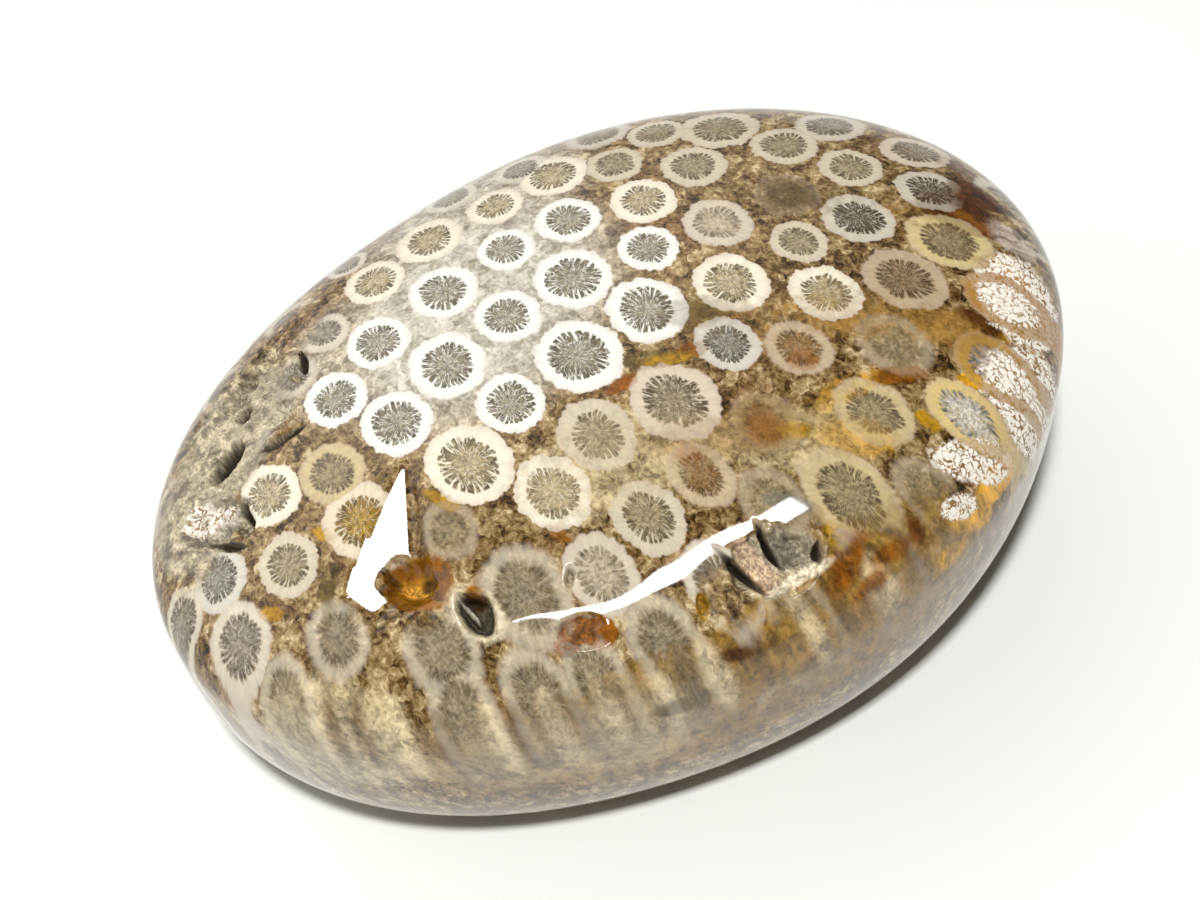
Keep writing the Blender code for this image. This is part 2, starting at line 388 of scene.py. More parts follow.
corners = np.empty(len(mesh.loops), int)
mesh.loops.foreach_get("vertex_index", corners)
points = np.empty(len(mesh.vertices) * 3)
mesh.vertices.foreach_get("co", points)
points = points.reshape(-1, 3) / MM
middles = points[corners].reshape(-1, 3, 3).mean(axis=1)
nearest = []
for part in np.array_split(middles, batch_count):
    offsets = part[:, None] - starts
    forward = np.einsum("ijk,jk->ij", offsets, headings)
    gaps = (np.einsum("ijk,ijk->ij", offsets, offsets) - forward ** 2) / radii ** 2
    nearest.append(np.argpartition(gaps, 1, axis=1)[:, :2])
nearest = np.repeat(np.concatenate(nearest), 3, axis=0)
for name, tubes in (("near", nearest[:, 0]), ("next", nearest[:, 1])):
    offsets = points[corners] - starts[tubes]
    local = np.stack([(offsets * across[tubes]).sum(axis=1) / radii[tubes],
                      (offsets * along[tubes]).sum(axis=1) / radii[tubes],
                      tubes.astype(float)], axis=1)
    layer = mesh.attributes.new(f"{name}_cup", "FLOAT_VECTOR", "CORNER")
    layer.data.foreach_set("vector", local.ravel())
    for kind, colours, column in (("wall", walls, 0), ("filling", fillings, 1)):
        shows = np.array(clearness)[tubes, column]
        values = np.column_stack([np.array(colours)[tubes], shows])
        layer = mesh.attributes.new(f"{name}_{kind}", "FLOAT_COLOR", "CORNER")
        layer.data.foreach_set("color", values.ravel())

# ---------------------------------------------------------------------------------------------
# Stains and patches. Iron in the ground water stained the stone rust red, amber and ochre, and
# parts of it are bleached, hazy or full of white flecks. The stains were in the stone before it was
# cut, and only the end at -X was roughened by the weather. Some patches are painted light and shade:
# black along the clefts, a dark reflection by the jagged hollow, glints in the dimple and glitter
# at the +X end.
# ---------------------------------------------------------------------------------------------

# Each stain's colour and patches, and the same for the light and shade painted among them. A patch
# is where in plan it is, its half length and half width in mm, its turn in degrees, or None along
# the tubes, and how strong it is.
STAINS_AND_PAINTED_LIGHT = {
    "sandy": ("#ad9c76", (
        (-6, -9, 9, 5, -10, 0.55), (8, -14, 7, 3, -20, 0.5), (-34, -14, 6, 4, -45, 0.5))),
    "honey": ("#886830", (
        (-8, -27, 16, 9, -5, 0.7), (-24, -24, 9, 6, -30, 0.6), (8, -27, 13, 9, 10, 0.7))),
    "pale sand": ("#b3a483", (
        (-35.5, -14.5, 7, 6, -50, 0.7), (-24, -24, 6, 5, -30, 0.4), (-14, -27, 6, 6, -10, 0.5))),
    "gold brown": ("#a87d2c", ((13, -16, 4, 1.8, -30, 0.55), (14, -12, 4, 1.4, 0, 0.5))),
    "orange brown": ("#8a6732", (
        (12, -4, 9, 3, -25, 0.4), (20, -7, 7, 3, -40, 0.45), (3, -11, 6, 2, -20, 0.45),
        (26, -11, 4, 2, -45, 0.6), (17, 6, 7, 3, -30, 0.3), (30, 0, 4, 2, -40, 0.4))),
    "beige streak": ("#cdbb94", (
        (-24.0, -21.6, 5, 0.8, None, 0.8), (-19.5, -23.4, 5, 0.9, None, 0.8),
        (-15.5, -24.6, 4, 0.9, None, 0.8), (-30.5, -18, 5, 0.8, None, 0.7),
        (-35.5, -13.5, 4, 0.9, None, 0.8), (-11, -25.5, 4, 0.7, None, 0.6),
        (-6.5, -26, 4, 1.0, None, 0.7), (2, -26.5, 5, 0.8, None, 0.6),
        (9, -26, 4, 1.1, None, 0.6))),
    "brown streak": ("#5c4526", (
        (-34.8, -14.4, 4, 0.7, None, 0.8), (-27.5, -20, 5, 0.7, None, 0.8),
        (-22, -22.6, 5, 0.6, None, 0.8), (-33, -16, 4, 0.7, None, 0.7),
        (-17.6, -24, 4, 0.6, None, 0.8), (-8.8, -25.6, 4, 0.6, None, 0.8),
        (-3, -26.4, 4, 0.7, None, 0.7), (5, -26.5, 4, 0.7, None, 0.7),
        (12.5, -25.5, 4, 0.6, None, 0.7))),
    "olive brown": ("#54451f", (
        (-10.1, -25.9, 2.6, 0.9, -12, 0.8), (24, 5, 4, 2, -30, 0.4), (-31, -7, 0.7, 2.2, -34, 0.8),
        (-30, -5, 1.2, 1.8, -34, 0.5), (-36, 10, 3, 2, 60, 0.3), (7, 0, 4, 1.5, -20, 0.6),
        (1.0, -2.2, 2.5, 1.0, -20, 0.6))),
    "dark brown": ("#4d2a0b", (
        (33.5, -0.6, 3.8, 2.2, -43, 1.0), (36.5, 1.0, 3.0, 1.6, -40, 0.9),
        (-4.8, -25.4, 1.5, 0.6, -34, 0.9), (13.5, -23.8, 1.3, 0.7, -78, 1.0),
        (28.7, -11.3, 2.6, 0.8, -51, 0.9), (37, 5, 2.5, 1.5, -60, 0.6))),
    "rust": ("#7c4a12", (
        (6.8, -23.7, 2.8, 1.3, 48, 1.0), (10.8, -24.4, 2.4, 0.8, -6, 0.9),
        (8.0, -25.7, 1.8, 1.0, 26, 0.9), (18.9, -12.6, 2.4, 0.8, -15, 1.0),
        (12.2, -8.3, 1.4, 0.9, -26, 1.0), (-0.5, -11.2, 1.2, 0.8, -29, 1.0),
        (4.7, -3.2, 1.1, 0.7, -27, 0.9), (-1.9, -3.2, 1.6, 0.6, 3, 0.9),
        (-12.8, -11.8, 1.2, 0.6, -62, 0.9), (6.0, -12.1, 1.8, 1.6, -26, 0.8),
        (-13.7, -19.6, 1.3, 1.3, 0, 1.0), (-15.4, -18.6, 1.2, 1.2, 0, 1.0),
        (-16.5, -19.1, 1.0, 1.0, 0, 0.8), (34.8, -2.6, 3.4, 0.7, -50, 0.8),
        (33, -7.2, 3.2, 0.7, -55, 0.8))),
    "amber": ("#9c7418", (
        (6.1, -19.7, 0.8, 0.5, -71, 1.0), (6.5, -21.0, 0.8, 0.5, -71, 1.0),
        (6.7, -22.3, 0.8, 0.5, -71, 1.0), (8.3, -13.2, 1.3, 0.7, -24, 1.0),
        (-19.4, -4.5, 1.9, 0.6, -61, 0.9), (32.4, -12.2, 3.2, 0.9, 5, 1.0),
        (-5.6, -21.6, 0.6, 1.1, -14, 0.9), (-35.0, -4.7, 1.2, 0.6, -40, 0.9),
        (2.5, -3.0, 2.0, 0.6, -20, 0.8), (18.9, -16.9, 1.4, 0.7, -60, 0.8),
        (-28.5, -1.8, 1.2, 0.6, -60, 0.8))),
    "ochre": ("#cf9824", (
        (22.7, -22.4, 2.7, 1.6, 16, 1.0), (19.3, -24.2, 2.6, 1.0, -45, 1.0),
        (16.2, -25.6, 1.6, 1.2, 0, 1.0), (25.0, -15.5, 2.1, 0.7, -36, 0.8),
        (34.5, -7.5, 2.5, 0.8, -60, 0.8))),
    "lavender cream": ("#a9998a", ((36.8, -4.6, 2.6, 1.6, -50, 0.9),)),
    "burnt amber of the dimple": ("#74470a", ((-24.2, -9.4, 2.9, 2.3, -34, 1.0),)),
    # Partly painted highlight: the gold is both the crystals' own colour and the glints of light on
    # them.
    "golden crystals and painted glints of the dimple": ("#c39433", ((-24.3, -9.2, 1.5, 0.7, -31, 1.0),)),
    "dark crystals of the dimple": ("#3c2107", ((-23.5, -9.6, 0.9, 0.5, -31, 0.9),)),
    "cream lip of the oval vug": ("#c4b796", ((-21.4, -13.9, 2.6, 1.8, -80, 1.0),)),
    "orange wall of the oval vug": ("#8a5a1c", ((-20.9, -12.6, 1.0, 0.8, -80, 1.0),)),
    "crystal bar of the oval vug": ("#b9b2a0", ((-21.8, -13.5, 1.6, 0.35, -83, 1.0),)),
    "pale rock": ("#978c74", ((-30.5, 11.5, 7.5, 4.2, 40, 0.85), (-37, 6.5, 4.5, 4, 60, 0.8))),
    "pink rock": ("#b59a7b", ((-0.2, -20.9, 2.5, 1.0, -76, 1.0),)),
    "grey rock": ("#a0967f", ((2.9, -21.4, 2.6, 1.7, -42, 0.9), (-26.3, 10.5, 1.9, 1.1, 15, 0.8))),
    "cream ridge": ("#d4c6a8", ((2.5, -23.3, 3.0, 0.5, 3, 0.9),)),
    # Painted reflection: a dark grey arc by the jagged hollow, the dark room seen in a shallow dip.
    "painted dark reflection by the jagged hollow": ("#5f6054", ((4.4, -17.9, 2.3, 0.8, -41, 0.7), (6, -19.6, 1.4, 0.5, -80, 0.6))),
    # Painted shade: black laid along the narrow clefts, cracks, slots and holes, where shade falls.
    "painted shade along the clefts": ("#2c2212", (
        (-1.6, -20.8, 2.9, 0.3, -71, 1.0), (1.5, -20.3, 2.3, 0.28, -86, 1.0),
        (4.9, -22.3, 0.9, 0.3, 70, 1.0), (-32.6, 3.9, 1.3, 0.35, -85, 1.0),
        (-35.2, 2.5, 2.0, 0.3, -43, 1.0), (-34.9, 4.6, 0.9, 0.3, -60, 1.0),
        (-22.4, 13.8, 1.5, 0.35, 77, 1.0), (-28.6, 13.0, 0.9, 0.5, 59, 0.9),
        (-27.2, 8.0, 2.3, 0.35, -4, 0.9), (-31.6, 9.3, 1.4, 0.7, 23, 1.0))),
    "grey crystal": ("#8b8473", ((-35.4, 5.6, 2.4, 1.6, -22, 0.9),)),
}

# Patches that are bleached, that are full of white flecks, painted glitter at the +X end and
# white crystals on the broken patch, and that the weather has roughened.
BLEACHED = (
    (-8, 10, 12.5, 9.5, 20, 0.85), (-15, 5, 7, 6, 30, 0.1), (-3, 20, 11, 6, 10, 0.7),
    (-18, 12, 7, 6, 30, 0.4))
FLECKS = (
    (33.5, -10, 5, 4.5, -60, 1.0), (29.5, -18, 6, 4.5, -50, 1.0), (21.5, -21.0, 5, 2.0, -30, 0.9),
    (18.2, -23.4, 2.2, 1.2, -30, 0.9),
    (-35.9, 6.1, 2.2, 1.3, -22, 0.75), (-33.9, 4.9, 1.1, 0.8, -60, 0.75))
WEATHERED = ((-30.5, 12, 8, 4, 40, 1.0), (-37, 5.5, 4.5, 3.2, 60, 1.0))

# Patches where the stone hides the cups, such as the weathered end, the rusty stone by the jagged
# hollow, and the front below the crown.
VEILS = (
    (-30.5, 12.5, 8, 3.8, 40, 1.0), (-37.5, 6.0, 4.5, 3.5, 60, 1.0), (-22, 17.5, 5, 2.5, 30, 0.9),
    (-3.4, -22.2, 3, 2.6, 0, 0.8), (8.5, -24.5, 4.5, 2.4, 0, 0.9), (-10, -28, 16, 8, 0, 0.3),
    (14, -28, 14, 8, 15, 0.5), (19, -23.5, 5, 2.5, -20, 0.7), (-26, -9.5, 4, 3, -34, 0.9),
    (37, -1.5, 4.5, 3.2, -50, 1.0), (-0.5, -27.0, 4.5, 4, 0, 0.9))

# Besides these places, the side of the stone is hazy below a level, a little at the back and a lot
# at the front. Lengths are in mm.
haze_level = 22.0
haze_fade = 6.0
haze_start = 5
haze_spread = 15
back_haze = 0.15
front_haze = 0.8

# How far out a patch reaches and over how much of that it fades, as shares of its size. It holds to
# patch_depth, in mm, above and below the skin at its middle, and is gone at twice that.
patch_reach = 1.35
patch_fade = 0.7
patch_depth = 3


def covered(x, y, half_long, half_short, turn, strength):
    """How much an oval patch of the skin covers each vertex of the stone."""
    middle, normal = crown_point(x, y)
    if turn is None:
        heading = tube_heading(x, y)
    else:
        heading = Vector((cos(radians(turn)), sin(radians(turn)), 0))
    long_axis = (heading - normal * heading.dot(normal)).normalized()
    short_axis = normal.cross(long_axis)
    away = points - np.array(middle) / MM
    lengthwise = away @ np.array(long_axis) / half_long
    crosswise = away @ np.array(short_axis) / half_short
    share = np.clip((patch_reach - np.hypot(lengthwise, crosswise)) / patch_fade, 0, 1)
    level = np.clip(2 - np.abs(away @ np.array(normal)) / patch_depth, 0, 1)
    return strength * share * share * (3 - 2 * share) * level


# Later patches, stains and painted light alike, lie over earlier ones.
tint = np.zeros((len(points), 4))
for colour, places in STAINS_AND_PAINTED_LIGHT.values():
    for place in places:
        cover = covered(*place)[:, None]
        left = tint[:, 3:] * (1 - cover)
        mixed = np.array(linear(colour)) * cover + tint[:, :3] * left
        mixed /= np.maximum(cover + left, 1e-6)
        tint[:, :3] = np.where(cover + left > 0, mixed, 0)
        tint[:, 3:] = cover + left
layer = mesh.attributes.new("stains_and_painted_light", "FLOAT_COLOR", "POINT")
layer.data.foreach_set("color", tint.ravel())

front = np.clip((-points[:, 1] - haze_start) / haze_spread, 0, 1)
haze = back_haze + (front_haze - back_haze) * front
haze *= np.clip((haze_level - points[:, 2]) / haze_fade, 0, 1)
for name, places, least in (("bleached", BLEACHED, 0), ("flecks", FLECKS, 0),
                            ("weathered", WEATHERED, 0), ("veil", VEILS, haze)):
    layer = mesh.attributes.new(name, "FLOAT", "POINT")
    shares = np.max([covered(*place) for place in places], axis=0)
    layer.data.foreach_set("value", np.maximum(shares, least))

# ---------------------------------------------------------------------------------------------
# The agate of the stone. One material carries it all: the walls and plates of the cups, their
# filling of grey chalcedony, the grainy stone between them, the stains and the light and shade
# painted with them, and bare unpolished rock down in the hollows, with painted shade at the bottom
# of deep ones. The eye sees a clear glassy gloss over it, and dull rock where it is broken.
# ---------------------------------------------------------------------------------------------


def rgba(text):
    """An sRGB hex colour as a linear colour with full alpha."""
    return (*linear(text), 1)


def put(kind, out, sockets, stops=(), **settings):
    """Adds a node with settings, colour stops and filled or linked sockets, and gives one output."""
    node = nodes.new(f"ShaderNode{kind}")
    for name, value in settings.items():
        setattr(node, name, value)
    for index, (spot, shade) in enumerate(stops):
        ramp = node.color_ramp.elements
        stop = ramp[index] if index < 2 else ramp.new(spot)
        stop.position, stop.color = spot, rgba(shade)
    for socket, value in sockets.items():
        if isinstance(value, bpy.types.NodeSocket):
            links.new(value, node.inputs[socket])
        else:
            node.inputs[socket].default_value = value
    return node.outputs[out]


agate = bpy.data.materials.new("polished agatised coral")
agate.use_nodes = True
nodes, links = agate.node_tree.nodes, agate.node_tree.links
shader = nodes["Principled BSDF"]
mesh.materials.append(agate)
place = put("TexCoord", "Object", {})

# Where a point lies in the nearer of its two tubes, which are never quite round: 1 is the rim.
wobble_size = 2.4 * MM
wobble_share = 0.24
wobble = put("TexNoise", "Color", {"Vector": place, "Scale": 1 / wobble_size, "Detail": 1.0})
wobble = put("VectorMath", 0, {0: wobble, 1: (0.5, 0.5, 0.5)}, operation="SUBTRACT")
wobble = put("VectorMath", 0, {0: wobble, 1: (wobble_share, wobble_share, 0)}, operation="MULTIPLY")
cups, lengths = [], []
for name in ("near_cup", "next_cup"):
    spot = put("Attribute", "Vector", {}, attribute_name=name)
    spot = put("VectorMath", 0, {0: spot, 1: wobble}, operation="ADD")
    flat = put("VectorMath", 0, {0: spot, 1: (1, 1, 0)}, operation="MULTIPLY")
    cups.append(spot)
    lengths.append(put("VectorMath", "Value", {0: flat}, operation="LENGTH"))
is_near = put("Math", 0, {0: lengths[0], 1: lengths[1]}, operation="LESS_THAN")
cup = put("Mix", 1, {"Factor": is_near, 4: cups[1], 5: cups[0]}, data_type="VECTOR")
radius = put("Math", 0, {0: lengths[0], 1: lengths[1]}, operation="MINIMUM")
flat = put("VectorMath", 0, {0: cup, 1: (1, 1, 0)}, operation="MULTIPLY")
heading = put("VectorMath", 0, {0: flat}, operation="NORMALIZE")
tube = put("SeparateXYZ", "Z", {0: cup})
turn = put("Math", 0, {0: put("SeparateXYZ", "Y", {0: cup}), 1: put("SeparateXYZ", "X", {0: cup})},
           operation="ARCTAN2")

# The colours of that tube, and how clearly they show.
tones, shows = {}, {}
for kind in ("wall", "filling"):
    far = put("Attribute", "Color", {}, attribute_name=f"next_{kind}")
    near = put("Attribute", "Color", {}, attribute_name=f"near_{kind}")
    tones[kind] = put("Mix", 2, {"Factor": is_near, 6: far, 7: near}, data_type="RGBA")
    far = put("Attribute", "Alpha", {}, attribute_name=f"next_{kind}")
    near = put("Attribute", "Alpha", {}, attribute_name=f"near_{kind}")
    shows[kind] = put("Mix", 0, {"Factor": is_near, 2: far, 3: near})

# Each tube takes its noise this far on from the tube before it in the list, so no two are alike.
tube_step = 3.7


def round_cup(fineness, twist, offset):
    """Noise round a cup: its fineness, how much it changes outwards, and which noise it is."""
    spot = put("VectorMath", 0, {0: heading, 1: (fineness, fineness, 0)}, operation="MULTIPLY")
    depth = put("Math", 0, {0: radius, 1: twist, 2: offset}, operation="MULTIPLY_ADD")
    depth = put("Math", 0, {0: tube, 1: tube_step, 2: depth}, operation="MULTIPLY_ADD")
    lift = put("CombineXYZ", 0, {"Z": depth})
    spot = put("VectorMath", 0, {0: spot, 1: lift}, operation="ADD")
    return put("TexNoise", 0, {"Vector": spot, "Scale": 1.0, "Detail": 1.0, "Roughness": 0.6})


# Thin radial plates of uneven spacing and reach. Between their outer ends the filling makes small
# round lobes in the wall. Cups that show faintly have soft edges and faint plates.
plate_count = 24
plate_stray = 9.0
stray = put("Math", 0, {0: round_cup(1.6, 1.2, 0), 1: plate_stray}, operation="MULTIPLY")
phase = put("Math", 0, {0: turn, 1: plate_count, 2: stray}, operation="MULTIPLY_ADD")
wave = put("Math", 0, {0: phase}, operation="SINE")
softness = put("MapRange", 0, {0: shows["wall"], 1: 0.4, 2: 1.0, 3: 0.16, 4: 0.025})
minus = put("Math", 0, {0: softness, 1: -1.0}, operation="MULTIPLY")
plate = put("MapRange", 0, {0: wave, 1: 0.25, 2: 0.75}, interpolation_type="SMOOTHSTEP")
plate_reach = put("MapRange", 0, {0: round_cup(3.6, 0.4, 17), 1: 0.34, 2: 0.62, 3: 0.38, 4: 0.68})
inside = put("Math", 0, {0: radius, 1: plate_reach}, operation="SUBTRACT")
inside = put("MapRange", 0, {0: inside, 1: -0.04, 2: 0.08}, interpolation_type="SMOOTHSTEP")
plate_here = put("Math", 0, {0: plate, 1: inside}, operation="MULTIPLY")
strength = put("MapRange", 0, {0: shows["wall"], 1: 0.5, 2: 1.0, 3: 0.15, 4: 0.9})
plate_here = put("Math", 0, {0: plate_here, 1: strength}, operation="MULTIPLY")

# The wall lies between the ends of the plates and the ragged rim, and the filling inside it.
edge = put("MapRange", 0, {0: round_cup(2.2, 0.3, 23), 1: 0.3, 2: 0.7, 3: 0.63, 4: 0.71})
edge = put("Math", 0, {0: plate, 1: -0.05, 2: edge}, operation="MULTIPLY_ADD")
beyond = put("Math", 0, {0: radius, 1: edge}, operation="SUBTRACT")
beyond = put("MapRange", 0, {0: beyond, 1: minus, 2: softness}, interpolation_type="SMOOTHSTEP")
rim = put("MapRange", 0, {0: round_cup(5.0, 0.3, 31), 1: 0.35, 2: 0.7, 3: 1.02, 4: 0.93})
within = put("Math", 0, {0: rim, 1: radius}, operation="SUBTRACT")
within = put("MapRange", 0, {0: within, 1: minus, 2: softness}, interpolation_type="SMOOTHSTEP")
in_wall = put("Math", 0, {0: beyond, 1: plate_here}, operation="MAXIMUM")
in_wall = put("Math", 0, {0: in_wall, 1: within}, operation="MULTIPLY")
in_filling = put("Math", 0, {0: 1.0, 1: beyond}, operation="SUBTRACT")

# The filling is mottled grey chalcedony, darkest in the lobes, with pale and dark threads in it.
mottle_size = 0.33 * MM
mottle = put("TexNoise", 0, {"Vector": place, "Scale": 1 / mottle_size, "Detail": 2.0})
mottle = put("MapRange", 0, {0: mottle, 1: 0.35, 2: 0.65, 3: 0.6, 4: 1.4})
filling = put("VectorMath", 0, {0: tones["filling"], "Scale": mottle}, operation="SCALE")
lobes = put("MapRange", 0, {0: radius, 1: 0.22, 2: 0.6}, interpolation_type="SMOOTHSTEP")
patchy = put("MapRange", 0, {0: round_cup(4.2, 3.0, 57), 1: 0.32, 2: 0.6, 3: 0.15, 4: 0.75})
lobes = put("Math", 0, {0: lobes, 1: patchy}, operation="MULTIPLY")
filling = put("Mix", 2, {0: lobes, 6: filling, 7: rgba("#3a3223")}, data_type="RGBA")
thread_share = put("MapRange", 0, {0: shows["filling"], 1: 0.55, 2: 1.0})
for fineness, twist, offset, shade, width, share in (
        (4.6, 4.0, 91, tones["wall"], 0.045, 0.75), (6.5, 6.0, 141, rgba("#40382a"), 0.03, 0.5)):
    thread = put("Math", 0, {0: round_cup(fineness, twist, offset), 1: 0.5}, operation="SUBTRACT")
    thread = put("Math", 0, {0: thread}, operation="ABSOLUTE")
    thread = put("MapRange", 0, {0: thread, 1: 0.0, 2: width, 3: share, 4: 0.0})
    thread = put("Math", 0, {0: thread, 1: thread_share}, operation="MULTIPLY")
    filling = put("Mix", 2, {0: thread, 6: filling, 7: shade}, data_type="RGBA")

# The wall is fibrous calcite that turns faintly pink towards its rim.
pink = put("MapRange", 0, {0: radius, 1: 0.82, 2: 1.0, 3: 0.0, 4: 0.4})
wall = put("Mix", 2, {0: pink, 6: tones["wall"], 7: rgba("#b39d90")}, data_type="RGBA")
fibres = put("MapRange", 0, {0: round_cup(9.0, 1.5, 131), 1: 0.35, 2: 0.65, 3: 0.92, 4: 1.05})
wall = put("VectorMath", 0, {0: wall, "Scale": fibres}, operation="SCALE")

# The stone between the cups: blocky grains, longer along the tubes, with fine specks and soft
# clouds of light and dark. The turn lays a pattern's Z axis along the tubes.
grain_size = 0.75 * MM
warp_size = 0.9 * MM
tube_turn = (-0.332, -0.217, 0)
warp = put("TexNoise", "Color", {"Vector": place, "Scale": 1 / warp_size, "Detail": 2.0})
warp = put("VectorMath", 0, {0: warp, 1: (0.5, 0.5, 0.5)}, operation="SUBTRACT")
warp = put("VectorMath", 0, {0: warp, 1: (warp_size,) * 3}, operation="MULTIPLY")
warped = put("VectorMath", 0, {0: place, 1: warp}, operation="ADD")
stretched = put("Mapping", 0, {0: warped, "Rotation": tube_turn, "Scale": (1, 1, 2.4)},
                vector_type="TEXTURE")
rims = put("TexVoronoi", "Distance", {"Vector": stretched, "Scale": 1 / grain_size},
           feature="DISTANCE_TO_EDGE")
block = put("TexVoronoi", "Color", {"Vector": stretched, "Scale": 1 / grain_size})
block = put("SeparateColor", 0, {0: block})
speck_size = 0.4 * MM
speck = put("TexNoise", 0, {"Vector": stretched, "Scale": 1 / speck_size, "Detail": 3.0,
                            "Roughness": 0.6})
cloud_size = 1.9 * MM
cloud = put("TexNoise", 0, {"Vector": place, "Scale": 1 / cloud_size, "Detail": 2.0})
cloud = put("MapRange", 0, {0: cloud, 1: 0.3, 2: 0.7, 3: -0.08, 4: 0.2})
cloud = put("Math", 0, {0: cloud, 1: speck}, operation="ADD")
tone = put("Math", 0, {0: block, 1: 0.27, 2: cloud}, operation="MULTIPLY_ADD")

# Where it hides the cups, the stone is streaked along the tubes.
streak_pitch = 0.9 * MM
veil = put("Attribute", "Fac", {}, attribute_name="veil")
streaks = put("Mapping", 0, {0: warped, "Rotation": tube_turn, "Scale": (1, 1, 5)},
              vector_type="TEXTURE")
streaks = put("TexNoise", 0, {"Vector": streaks, "Scale": 1 / streak_pitch, "Detail": 2.0})
streaks = put("MapRange", 0, {0: streaks, 1: 0.35, 2: 0.65, 3: -0.2, 4: 0.2})
streaks = put("Math", 0, {0: streaks, 1: veil}, operation="MULTIPLY")
tone = put("Math", 0, {0: tone, 1: streaks}, operation="ADD")

# Its brown, from dark to light, with warm blotches and with pale rims round some of the grains.
matrix = put("ValToRGB", 0, {0: tone}, stops=(
    (0.42, "#291c09"), (1.05, "#cbb88f"), (0.56, "#573f1c"), (0.70, "#7d643c"), (0.86, "#a0885d")))
blotch_size = 5 * MM
blotch = put("TexNoise", 0, {"Vector": place, "Scale": 1 / blotch_size, "Detail": 2.0})
blotch = put("MapRange", 0, {0: blotch, 1: 0.5, 2: 0.7, 3: 0.0, 4: 0.5})
matrix = put("Mix", 2, {0: blotch, 6: matrix, 7: rgba("#c08a58")}, data_type="RGBA",
             blend_type="MULTIPLY")
pale_rim = put("MapRange", 0, {0: rims, 1: 0.02, 2: 0.1, 3: 0.22, 4: 0.0})
pale_rim = put("Math", 0, {0: pale_rim, 1: block}, operation="MULTIPLY")
matrix = put("Mix", 2, {0: pale_rim, 6: matrix, 7: rgba("#b3a37c")}, data_type="RGBA")

# In the middle of the crown it is bleached, cream with small greyish grains.
bleached = put("Attribute", "Fac", {}, attribute_name="bleached")
cream = put("MapRange", 0, {0: tone, 1: 0.42, 2: 0.95})
cream = put("Mix", 2, {0: cream, 6: rgba("#8d8470"), 7: rgba("#d6d3c4")}, data_type="RGBA")
matrix = put("Mix", 2, {0: bleached, 6: matrix, 7: cream}, data_type="RGBA")

# Iron stains, and the light and shade painted with them, have ragged edges, darken and lighten
# with the grains, and are weaker in the cups.
ragged_size = 0.8 * MM
cup_cover_share = 0.4
ragged = put("TexNoise", 0, {"Vector": place, "Scale": 1 / ragged_size, "Detail": 3.0})
stain_and_painted_light_cover = put("Attribute", "Alpha", {}, attribute_name="stains_and_painted_light")
stain_and_painted_light_cover = put("Math", 0, {0: ragged, 1: 0.9, 2: stain_and_painted_light_cover}, operation="MULTIPLY_ADD")
stain_and_painted_light_cover = put("MapRange", 0, {0: stain_and_painted_light_cover, 1: 0.7, 2: 1.15}, interpolation_type="SMOOTHSTEP")
shade = put("MapRange", 0, {0: tone, 1: 0.4, 2: 0.95, 3: 0.45, 4: 1.5})
stain_and_painted_light_colour = put("VectorMath", 0, {0: put("Attribute", "Color", {}, attribute_name="stains_and_painted_light"),
                             "Scale": shade}, operation="SCALE")
matrix = put("Mix", 2, {0: stain_and_painted_light_cover, 6: matrix, 7: stain_and_painted_light_colour}, data_type="RGBA")
over_cups = put("Math", 0, {0: stain_and_painted_light_cover, 1: cup_cover_share}, operation="MULTIPLY")
filling = put("Mix", 2, {0: over_cups, 6: filling, 7: stain_and_painted_light_colour}, data_type="RGBA")
wall = put("Mix", 2, {0: over_cups, 6: wall, 7: stain_and_painted_light_colour}, data_type="RGBA")

# Rock and haze hide some cups wholly or in part. Elsewhere filling and wall lie over the stone.
hidden = put("Math", 0, {0: ragged, 1: 0.7, 2: veil}, operation="MULTIPLY_ADD")
clear = put("MapRange", 0, {0: hidden, 1: 0.45, 2: 1.25, 3: 1.0, 4: 0.0})
filling_share = put("Math", 0, {0: in_filling, 1: shows["filling"]}, operation="MULTIPLY")
filling_share = put("Math", 0, {0: filling_share, 1: clear}, operation="MULTIPLY")
wall_share = put("Math", 0, {0: in_wall, 1: shows["wall"]}, operation="MULTIPLY")
wall_share = put("Math", 0, {0: wall_share, 1: clear}, operation="MULTIPLY")
colour = put("Mix", 2, {0: filling_share, 6: matrix, 7: filling}, data_type="RGBA")
colour = put("Mix", 2, {0: wall_share, 6: colour, 7: wall}, data_type="RGBA")

# Bare rock in the hollows, streaked by the broken plates, with painted shade darkening the bottom
# of deep ones.
depth = put("Attribute", "Fac", {}, attribute_name="depth")
bare = put("MapRange", 0, {0: depth, 1: 0.15, 2: 0.5})
painted_shade_of_deep_hollows = put("MapRange", 0, {0: depth, 1: 0.7, 2: 1.9, 3: 0.0, 4: 0.9})
rock = put("MapRange", 0, {0: tone, 1: 0.4, 2: 1.0})
rock = put("Mix", 2, {0: rock, 6: rgba("#463821"), 7: rgba("#b8ab8c")}, data_type="RGBA")
rock = put("Mix", 2, {0: stain_and_painted_light_cover, 6: rock, 7: stain_and_painted_light_colour}, data_type="RGBA")
plate_pitch = 0.22 * MM
broken = put("Mapping", 0, {0: place, "Rotation": tube_turn, "Scale": (1, 1, 6)},
             vector_type="TEXTURE")
broken = put("TexNoise", 0, {"Vector": broken, "Scale": 1 / plate_pitch, "Detail": 2.0})
broken = put("MapRange", 0, {0: broken, 1: 0.35, 2: 0.65, 3: 0.55, 4: 1.5})
rock = put("VectorMath", 0, {0: rock, "Scale": broken}, operation="SCALE")

